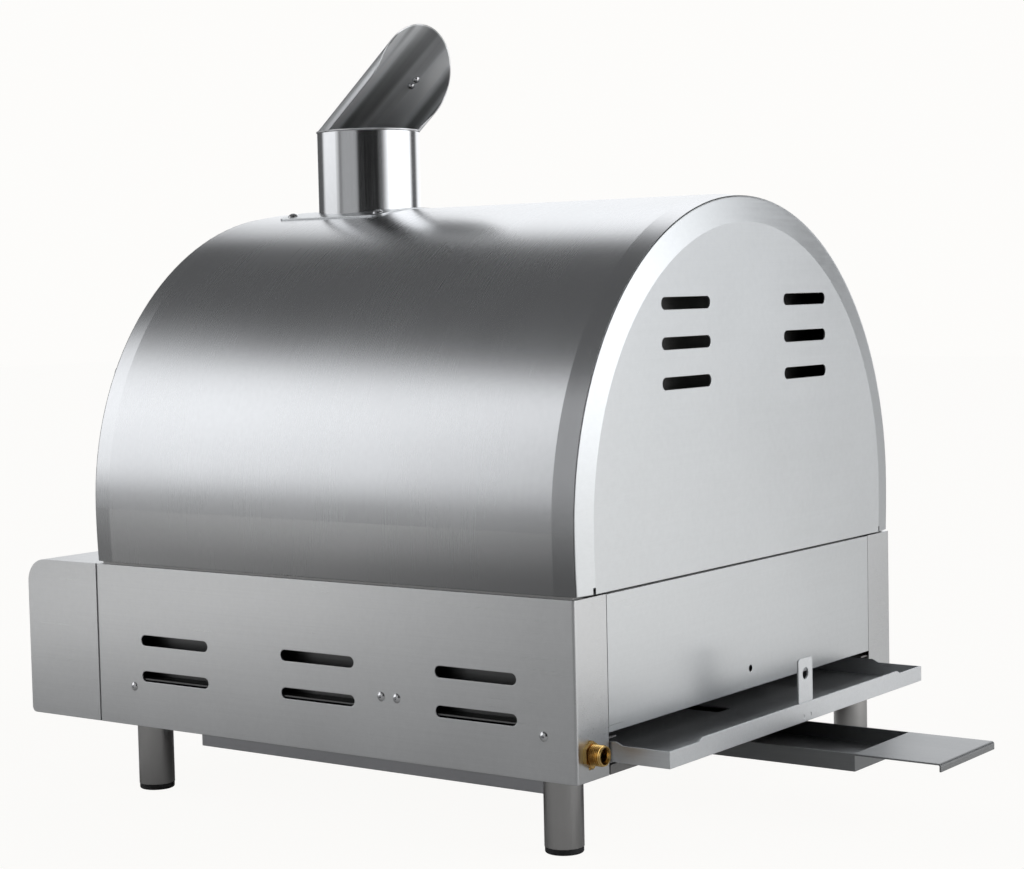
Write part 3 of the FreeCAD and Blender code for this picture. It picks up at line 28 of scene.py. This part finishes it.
class Tree:
    """Adds shader nodes to one tree; every method returns an output socket."""

    def __init__(self, tree):
        self.tree = tree
        self.tree.nodes.clear()

    def node(self, kind, **settings):
        made = self.tree.nodes.new(kind)
        for key, value in settings.items():
            setattr(made, key, value)
        return made

    def put(self, value, socket):
        if isinstance(value, bpy.types.NodeSocket):
            self.tree.links.new(value, socket)
        else:
            socket.default_value = value

    def math(self, operation, a, b=0.0):
        made = self.node("ShaderNodeMath", operation=operation)
        for value, socket in zip((a, b), made.inputs):
            self.put(value, socket)
        return made.outputs[0]

    def dot(self, vector, direction):
        made = self.node("ShaderNodeVectorMath", operation="DOT_PRODUCT")
        self.put(vector, made.inputs[0])
        made.inputs[1].default_value = direction
        return made.outputs["Value"]

    def ramp(self, value, low, high, out_low=0.0, out_high=1.0, smooth=True):
        made = self.node("ShaderNodeMapRange", clamp=True)
        made.interpolation_type = "SMOOTHSTEP" if smooth else "LINEAR"
        self.put(value, made.inputs["Value"])
        made.inputs["From Min"].default_value = low
        made.inputs["From Max"].default_value = high
        made.inputs["To Min"].default_value = out_low
        made.inputs["To Max"].default_value = out_high
        return made.outputs["Result"]

    def coords(self, scale):
        """Object coordinates, scaled by three numbers, or by one for all three axes."""
        scale = (scale, scale, scale) if isinstance(scale, float) else scale
        place = self.node("ShaderNodeTexCoord")
        mapping = self.node("ShaderNodeMapping")
        self.tree.links.new(place.outputs["Object"], mapping.inputs["Vector"])
        mapping.inputs["Scale"].default_value = scale
        return mapping.outputs["Vector"]

    def along(self, run, scale):
        """Coordinates turned so that their middle axis follows run, then scaled."""
        place = self.node("ShaderNodeTexCoord").outputs["Object"]
        run = Vector(run).normalized()
        side = Vector((1.0, 0.0, 0.0))
        made = self.node("ShaderNodeCombineXYZ")
        for index, axis in enumerate((side, run, side.cross(run))):
            self.put(self.math("MULTIPLY", self.dot(place, axis), scale[index]), made.inputs[index])
        return made.outputs[0]

    def noise(self, vector, detail=3.0, roughness=0.55):
        made = self.node("ShaderNodeTexNoise")
        self.tree.links.new(vector, made.inputs["Vector"])
        made.inputs["Scale"].default_value = 1.0
        made.inputs["Detail"].default_value = detail
        made.inputs["Roughness"].default_value = roughness
        return made.outputs["Fac"]

    def mix_color(self, factor, a, b):
        made = self.node("ShaderNodeMix", data_type="RGBA")
        self.put(factor, made.inputs[0])
        self.put(a, made.inputs[6])
        self.put(b, made.inputs[7])
        return made.outputs[2]

    def bump(self, height, distance, strength=1.0, normal=None):
        made = self.node("ShaderNodeBump")
        made.inputs["Strength"].default_value = strength
        made.inputs["Distance"].default_value = distance
        self.tree.links.new(height, made.inputs["Height"])
        if normal is not None:
            self.tree.links.new(normal, made.inputs["Normal"])
        return made.outputs["Normal"]

    def edge_normal(self, radius):
        made = self.node("ShaderNodeBevel", samples=BEVEL_SAMPLES)
        made.inputs["Radius"].default_value = radius
        return made.outputs["Normal"]


def shade(color):
    return (color[0], color[1], color[2], 1.0)


def material(name):
    made = bpy.data.materials.new(name)
    made.use_nodes = True
    tree = Tree(made.node_tree)
    shader = tree.node("ShaderNodeBsdfPrincipled")
    output = tree.node("ShaderNodeOutputMaterial")
    tree.tree.links.new(shader.outputs[0], output.inputs[0])
    return made, tree, shader


ALONG_X, ALONG_Y, ALONG_Z = (6.0, 900.0, 900.0), (900.0, 6.0, 900.0), (900.0, 900.0, 6.0)
ROUND_ARCH = (12.0, 1100.0, 12.0)
CLOUD_SCALE, FLECK_SCALE = 9.0, 260.0     # waves per metre of the mottling and of the fine flecks
FLECK_TINT = 0.015
CLOUD_ROUGH = 0.02
STREAK_SCALE = (70.0, 2.5, 70.0)
STREAK_LIFT = 0.3     # how much a bright streak gains, as a share of what a dark one loses
HOOD_RUN = (0.0, 0.759, 0.651)     # the way the chimney hood leans


def steel(name, color, roughness, grain, grain_depth=0.000003, rough_swing=0.04, tint=0.03,
          mottle=0.03, edge=0.0006, painted_foot_shade=None, run=None, streak=0.0,
          metallic=1.0):
    """Stainless sheet: brush lines, faint mottling and softly rounded edges.

    The painted foot shade is two heights in metres and the share of the colour left at the lower one.
    It is painted shade: it darkens the foot of a sheet on top of what the shape and the lights do there,
    standing in for the darker floor reflected there.
    run turns the brush lines, and streak lays broad stains along it.
    """
    made, tree, shader = material(name)
    shader.inputs["Metallic"].default_value = metallic
    lines = tree.noise(tree.along(run, grain) if run else tree.coords(grain), 3.0, 0.6)
    cloud = tree.noise(tree.coords(CLOUD_SCALE), 3.0, 0.5)
    fleck = tree.noise(tree.coords(FLECK_SCALE), 2.0, 0.6)
    level = tree.math("ADD", tree.ramp(lines, 0.3, 0.7, -tint, tint, False),
                      tree.ramp(cloud, 0.3, 0.7, -mottle, mottle, False))
    level = tree.math("ADD", level, tree.ramp(fleck, 0.3, 0.7, -FLECK_TINT, FLECK_TINT, False))
    level = tree.math("ADD", 1.0, level)
    if streak:
        band = tree.noise(tree.along(run, STREAK_SCALE), 1.0, 0.4)
        gain = tree.ramp(band, 0.36, 0.64, 1.0 - streak, 1.0 + STREAK_LIFT * streak)
        level = tree.math("MULTIPLY", level, gain)
    # Painted shade: the colour darkens towards the foot, a darker floor reflection painted into the colour.
    if painted_foot_shade:
        low, high, amount = painted_foot_shade
        split = tree.node("ShaderNodeSeparateXYZ")
        tree.put(tree.coords(1.0), split.inputs[0])
        level = tree.math("MULTIPLY", level, tree.ramp(split.outputs[2], low, high, amount, 1.0))
    tone = tree.node("ShaderNodeVectorMath", operation="SCALE")
    tone.inputs[0].default_value = color
    tree.put(level, tone.inputs["Scale"])
    tree.put(tone.outputs[0], shader.inputs["Base Color"])
    brushed = tree.ramp(lines, 0.25, 0.75, roughness - rough_swing, roughness + rough_swing, False)
    clouded = tree.ramp(cloud, 0.3, 0.7, -CLOUD_ROUGH, CLOUD_ROUGH, False)
    tree.put(tree.math("ADD", brushed, clouded), shader.inputs["Roughness"])
    base_normal = tree.edge_normal(edge) if edge else None
    tree.put(tree.bump(lines, grain_depth, 1.0, base_normal), shader.inputs["Normal"])
    return made


def plastic(name, color, roughness, grain=900.0, depth=0.00002):
    made, tree, shader = material(name)
    skin = tree.noise(tree.coords(grain), 2.0)
    rub = tree.noise(tree.coords(60.0), 3.0)
    worn = tuple(min(1.0, c * 1.5 + 0.01) for c in color)
    tree.put(tree.mix_color(tree.ramp(rub, 0.45, 0.75, 0.0, 0.5), shade(color), shade(worn)),
             shader.inputs["Base Color"])
    tree.put(tree.ramp(rub, 0.3, 0.7, roughness - 0.08, roughness + 0.08, False), shader.inputs["Roughness"])
    tree.put(tree.bump(skin, depth, 0.6, tree.edge_normal(0.0006)), shader.inputs["Normal"])
    return made


def brass(name):
    made, tree, shader = material(name)
    turned = tree.noise(tree.coords((30.0, 1500.0, 30.0)), 2.0)
    stain = tree.noise(tree.coords(140.0), 4.0)
    clean, tarnished = shade((0.74, 0.50, 0.18)), shade((0.45, 0.25, 0.07))
    tree.put(tree.mix_color(tree.ramp(stain, 0.4, 0.75), clean, tarnished), shader.inputs["Base Color"])
    tree.put(tree.ramp(stain, 0.3, 0.7, 0.16, 0.32, False), shader.inputs["Roughness"])
    shader.inputs["Metallic"].default_value = 1.0
    tree.put(tree.bump(turned, 0.00001), shader.inputs["Normal"])
    return made


def stone(name):
    made, tree, shader = material(name)
    grit = tree.noise(tree.coords(700.0), 4.0, 0.7)
    patch = tree.noise(tree.coords(22.0), 5.0)
    body = tree.mix_color(tree.ramp(patch, 0.35, 0.7), shade((0.62, 0.52, 0.4)), shade((0.47, 0.37, 0.27)))
    tree.put(tree.mix_color(tree.ramp(grit, 0.55, 0.7, 0.0, 0.5), body, shade((0.3, 0.22, 0.16))),
             shader.inputs["Base Color"])
    shader.inputs["Roughness"].default_value = 0.92
    tree.put(tree.bump(grit, 0.0002, 0.6, tree.edge_normal(0.0012)), shader.inputs["Normal"])
    return made


def clear_glass(name, tint):
    made, tree, shader = material(name)
    smear = tree.noise(tree.coords(35.0), 5.0)
    tree.put(tree.ramp(smear, 0.4, 0.8, 0.02, 0.12), shader.inputs["Roughness"])
    dim = tuple(c * 0.85 for c in tint)
    tree.put(tree.mix_color(tree.ramp(smear, 0.3, 0.7, 0.0, 0.4), shade(tint), shade(dim)),
             shader.inputs["Base Color"])
    shader.inputs["Transmission Weight"].default_value = 1.0
    shader.inputs["IOR"].default_value = 1.47
    return made


def painted(name, color, roughness):
    made, tree, shader = material(name)
    peel = tree.noise(tree.coords(1400.0), 2.0)
    dirt = tree.noise(tree.coords(70.0), 4.0)
    dim = tuple(c * 0.85 for c in color)
    tree.put(tree.mix_color(tree.ramp(dirt, 0.45, 0.8, 0.0, 0.6), shade(color), shade(dim)),
             shader.inputs["Base Color"])
    rough = tree.ramp(dirt, 0.3, 0.7, roughness - 0.05, roughness + 0.05, False)
    tree.put(rough, shader.inputs["Roughness"])
    tree.put(tree.bump(peel, 0.00001, 0.5), shader.inputs["Normal"])
    return made


# ------------------------------------------------------------ materials
# The dome's colour carries painted shade at its foot, a darker floor reflection painted in.
dome_steel = steel("dome_steel", (0.70, 0.705, 0.715), 0.27, ROUND_ARCH, 0.0000006, 0.012, 0.01, 0.015,
                   painted_foot_shade=(0.166, 0.236, 0.34))
cap_steel = steel("cap_steel", (0.69, 0.705, 0.715), 0.33, ALONG_X, 0.000002, 0.03, 0.012, 0.015)
side_steel = steel("side_steel", (0.67, 0.675, 0.68), 0.30, ALONG_Y, 0.000002, 0.03, 0.02, 0.03)
rear_steel = steel("rear_steel", (0.69, 0.705, 0.715), 0.31, ALONG_X, 0.000002, 0.03, 0.012, 0.015)
housing_steel = steel("housing_steel", (0.42, 0.42, 0.435), 0.34, ALONG_Y)
polished_pipe = steel("polished_pipe", (0.76, 0.765, 0.775), 0.15, ALONG_Z, 0.000001, 0.03, 0.015, 0.015)
polished_hood = steel("polished_hood", (0.92, 0.93, 0.94), 0.36, ALONG_Y, 0.000002, 0.05, 0.04,
                      run=HOOD_RUN, streak=0.65, metallic=0.5)
bright_steel = steel("bright_steel", (0.74, 0.74, 0.75), 0.18, ALONG_X, 0.000002, 0.03, 0.02, edge=0.0003)
leg_steel = steel("leg_steel", (0.52, 0.51, 0.50), 0.2, ALONG_Z)
tray_steel = steel("tray_steel", (0.77, 0.785, 0.80), 0.38, ALONG_Y, metallic=0.85)
grease_steel = steel("grease_steel", (0.27, 0.275, 0.28), 0.34, ALONG_Y)
inner_steel = steel("inner_steel", (0.30, 0.295, 0.29), 0.40, ALONG_Y, tint=0.04, edge=0.0)
shield_steel = steel("shield_steel", (0.17, 0.17, 0.17), 0.42, ALONG_Y, tint=0.04, edge=0.0)
aluminium = steel("aluminium", (0.78, 0.79, 0.8), 0.35, ALONG_Y, tint=0.02, edge=0.0)
brass_metal = brass("brass_metal")
black_plastic = plastic("black_plastic", (0.018, 0.018, 0.02), 0.42)
pad_rubber = plastic("pad_rubber", (0.012, 0.012, 0.013), 0.62, 500.0, 0.00005)
stone_face = stone("stone_face")
ceramic = painted("ceramic", (0.85, 0.83, 0.79), 0.3)
dial_white = painted("dial_white", (0.88, 0.88, 0.86), 0.5)
needle_red = painted("needle_red", (0.6, 0.03, 0.02), 0.4)
window_glass = clear_glass("window_glass", (0.55, 0.57, 0.57))
lens_glass = clear_glass("lens_glass", (0.96, 0.97, 0.97))

look = {
    "dome_shell": dome_steel, "rear_cap": cap_steel, "front_frame": cap_steel,
    "base_side_left": side_steel, "base_side_right": side_steel, "control_box": side_steel,
    "base_rear_panel": rear_steel, "under_housing": housing_steel, "heat_shields": shield_steel,
    "door_outer_panel": cap_steel, "door_inner_panel": inner_steel, "door_glass": window_glass,
    "thermometer_lens": lens_glass, "thermometer_dial": dial_white, "thermometer_needle": needle_red,
    "chimney_pipe": polished_pipe, "chimney_cowl": polished_hood, "cowl_rivets": bright_steel,
    "chimney_base_plate": cap_steel, "pan_head_screws": bright_steel, "side_rivets": bright_steel,
    "door_handle_bar": polished_pipe, "door_handle_posts": bright_steel, "thermometer_case": bright_steel,
    "knob_bezels": bright_steel, "door_hinge_pins": bright_steel, "door_hinge_brackets": bright_steel,
    "door_screws": bright_steel, "leg_tubes": leg_steel, "foot_pads": pad_rubber,
    "drip_tray": tray_steel, "drip_tray_tab": tray_steel, "grease_tray": grease_steel,
    "gas_inlet_fitting": brass_metal, "gas_inlet_locknut": brass_metal, "gas_valves": brass_metal,
    "knob_left": black_plastic, "knob_right": black_plastic, "igniter_button": black_plastic,
    "igniter_body": black_plastic, "pizza_stone": stone_face, "ignition_electrodes": ceramic,
    "gas_manifold": aluminium, "gas_inlet_pipe": aluminium,
}
for name, piece in nodes.items():
    piece.data.materials.clear()
    piece.data.materials.append(look.get(name, inner_steel))

# ------------------------------------------------------------ studio
BACKDROP = (0.982, 0.975, 0.96)
# Each panel in degrees: middle azimuth, half width, softness; lowest, highest elevation, softness.
# The last number is its strength.
PANELS = [
    (31.0, 25.0, 7.0, 0.0, 38.0, 5.5, 1.10),
    (28.0, 18.0, 8.0, 16.0, 31.0, 7.0, 0.18),
    (196.0, 27.0, 13.0, -3.0, 45.0, 2.0, 1.75),
    (292.0, 28.0, 8.0, -6.0, 31.0, 4.0, 1.10),
    (307.0, 16.0, 6.0, 31.0, 51.0, 4.0, 1.30),
    (230.0, 9.0, 6.0, -6.0, 30.0, 6.0, 1.35),
    (84.0, 20.0, 5.0, -5.0, 40.0, 5.0, 0.30),
]
AMBIENT = 0.11
FLAG = (128.0, 23.0, 0.12)     # azimuth, half width and share of light left on the studio's dark side
FLAG_SOFT_IN, FLAG_SOFT_OUT = 2.0, 3.0
LIGHT_TINT = (0.985, 1.0, 1.02)
FLOOR_HALF = 8.0
FLOOR_SPECK_SCALE = 30.0
FLOOR_GLOW = 0.966     # even brightness of the floor as the camera sees it
FLOOR_SHADOW = 0.08    # share of real light and shadow that the camera sees on top
# The floor's two pools are painted light: an emission glow on the paper that every ray but the camera's
# sees.
REAR_POOL, SIDE_POOL = 0.68, 1.15     # strength of the floor's two bright pools
REAR_POOL_AWAY, REAR_POOL_ASIDE = (-0.87, 0.5, 0.0), (0.5, 0.87, 0.0)
SIDE_POOL_CENTRE = (1.02, -0.88, 0.0)
SIDE_POOL_CORE, SIDE_POOL_REACH = 0.1, 0.55


def studio_world():
    """Soft panels all round. The camera itself sees an even backdrop in their place."""
    world = bpy.data.worlds.new("studio")
    scene.world = world
    world.use_nodes = True
    tree = Tree(world.node_tree)
    place = tree.node("ShaderNodeTexCoord")
    direction = place.outputs["Generated"]
    split = tree.node("ShaderNodeSeparateXYZ")
    tree.put(direction, split.inputs[0])
    elevation = tree.math("ARCSINE", split.outputs[2])

    def across(azimuth):
        a = math.radians(azimuth)
        ahead = tree.dot(direction, (math.sin(a), -math.cos(a), 0.0))
        aside = tree.dot(direction, (math.cos(a), math.sin(a), 0.0))
        return tree.math("ABSOLUTE", tree.math("ARCTAN2", aside, ahead))

    total = AMBIENT
    for azimuth, half, blur, low, high, soft, strength in PANELS:
        r = math.radians
        wide = tree.ramp(across(azimuth), r(half - blur), r(half + blur), 1.0, 0.0)
        rise = tree.ramp(elevation, r(low - soft), r(low + soft))
        fall = tree.ramp(elevation, r(high - soft), r(high + soft), 1.0, 0.0)
        panel = tree.math("MULTIPLY", wide, rise)
        lit = tree.math("MULTIPLY", panel, tree.math("MULTIPLY", fall, strength))
        total = tree.math("ADD", total, lit)
    azimuth, half, left = FLAG
    flag = tree.ramp(across(azimuth), math.radians(half - FLAG_SOFT_IN), math.radians(half + FLAG_SOFT_OUT),
                     left, 1.0)
    total = tree.math("MULTIPLY", total, flag)
    lights = tree.node("ShaderNodeBackground")
    tint = tree.node("ShaderNodeCombineColor")
    for index, share in enumerate(LIGHT_TINT):
        tree.put(tree.math("MULTIPLY", total, share), tint.inputs[index])
    tree.put(tint.outputs[0], lights.inputs["Color"])
    plain = tree.node("ShaderNodeBackground")
    plain.inputs["Color"].default_value = shade(BACKDROP)
    path = tree.node("ShaderNodeLightPath")
    mix = tree.node("ShaderNodeMixShader")
    tree.put(path.outputs["Is Camera Ray"], mix.inputs[0])
    tree.put(lights.outputs[0], mix.inputs[1])
    tree.put(plain.outputs[0], mix.inputs[2])
    output = tree.node("ShaderNodeOutputWorld")
    tree.put(mix.outputs[0], output.inputs[0])


def studio_floor():
    """Pale paper. The camera sees it nearly even; every other ray sees two painted pools of light glowing on
    it.

    The pools were set by matching sampled tones with the photograph.
    """
    size = FLOOR_HALF
    corners = [(-size, -size, 0), (size, -size, 0), (size, size, 0), (-size, size, 0)]
    mesh = bpy.data.meshes.new("floor")
    mesh.from_pydata(corners, [], [(0, 1, 2, 3)])
    floor = bpy.data.objects.new("floor", mesh)
    scene.collection.objects.link(floor)
    made, tree, shader = material("floor_pale")
    speck = tree.noise(tree.coords(FLOOR_SPECK_SCALE), 3.0)
    dull, pale = shade((0.80, 0.795, 0.785)), shade((0.83, 0.825, 0.815))
    tree.put(tree.mix_color(tree.ramp(speck, 0.3, 0.7), dull, pale), shader.inputs["Base Color"])
    shader.inputs["Roughness"].default_value = 0.9
    shader.inputs["Specular IOR Level"].default_value = 0.0
    seen = tree.node("ShaderNodeLightPath").outputs["Is Camera Ray"]
    place = tree.node("ShaderNodeTexCoord").outputs["Object"]
    # Painted light: the rear pool and the side pool glow on the paper for every ray but the camera's.
    away = tree.ramp(tree.dot(place, REAR_POOL_AWAY), 0.0, 0.7)
    beside = tree.ramp(tree.dot(place, REAR_POOL_ASIDE), -0.15, 0.4, 0.2, 1.0)
    rear_pool = tree.math("MULTIPLY", tree.math("MULTIPLY", away, beside), REAR_POOL)
    gap = tree.node("ShaderNodeVectorMath", operation="DISTANCE")
    tree.put(place, gap.inputs[0])
    gap.inputs[1].default_value = SIDE_POOL_CENTRE
    side_pool = tree.ramp(gap.outputs["Value"], SIDE_POOL_CORE, SIDE_POOL_REACH, SIDE_POOL, 0.0)
    pools = tree.math("MULTIPLY", tree.math("ADD", rear_pool, side_pool), tree.math("SUBTRACT", 1.0, seen))
    glow = tree.node("ShaderNodeEmission")
    glow.inputs["Color"].default_value = shade(BACKDROP)
    tree.put(tree.math("ADD", tree.math("MULTIPLY", seen, FLOOR_GLOW), pools), glow.inputs["Strength"])
    black = tree.node("ShaderNodeEmission")
    black.inputs["Strength"].default_value = 0.0
    thin = tree.node("ShaderNodeMixShader")
    tree.put(tree.math("MULTIPLY", seen, 1.0 - FLOOR_SHADOW), thin.inputs[0])
    tree.put(shader.outputs[0], thin.inputs[1])
    tree.put(black.outputs[0], thin.inputs[2])
    both = tree.node("ShaderNodeAddShader")
    tree.put(thin.outputs[0], both.inputs[0])
    tree.put(glow.outputs[0], both.inputs[1])
    output = next(n for n in tree.tree.nodes if n.type == "OUTPUT_MATERIAL")
    tree.put(both.outputs[0], output.inputs[0])
    floor.data.materials.append(made)


studio_world()
studio_floor()

# ------------------------------------------------------------ camera
CAMERA_PLACE = (1.3001, 0.927475, 0.3479)
CAMERA_AZIMUTH, CAMERA_ELEVATION, CAMERA_ROLL = 126.06, 3.756, -1.251
FOCAL_LENGTH = 78.04

camera_data = bpy.data.cameras.new("camera")
camera = bpy.data.objects.new("camera", camera_data)
scene.collection.objects.link(camera)
a, e, r = (math.radians(v) for v in (CAMERA_AZIMUTH, CAMERA_ELEVATION, CAMERA_ROLL))
back = Vector((math.sin(a) * math.cos(e), -math.cos(a) * math.cos(e), math.sin(e)))
level_right = Vector((math.cos(a), math.sin(a), 0.0))
level_up = back.cross(level_right)
right = math.cos(r) * level_right + math.sin(r) * level_up
up = -math.sin(r) * level_right + math.cos(r) * level_up
turn = Matrix((right, up, back)).transposed().to_4x4()
camera.matrix_world = Matrix.Translation(CAMERA_PLACE) @ turn
camera_data.sensor_width = 36.0
camera_data.lens = FOCAL_LENGTH
camera_data.clip_start = 0.05
camera_data.clip_end = 50.0
scene.camera = camera
scene.view_settings.view_transform = "Standard"
scene.view_settings.look = "None"
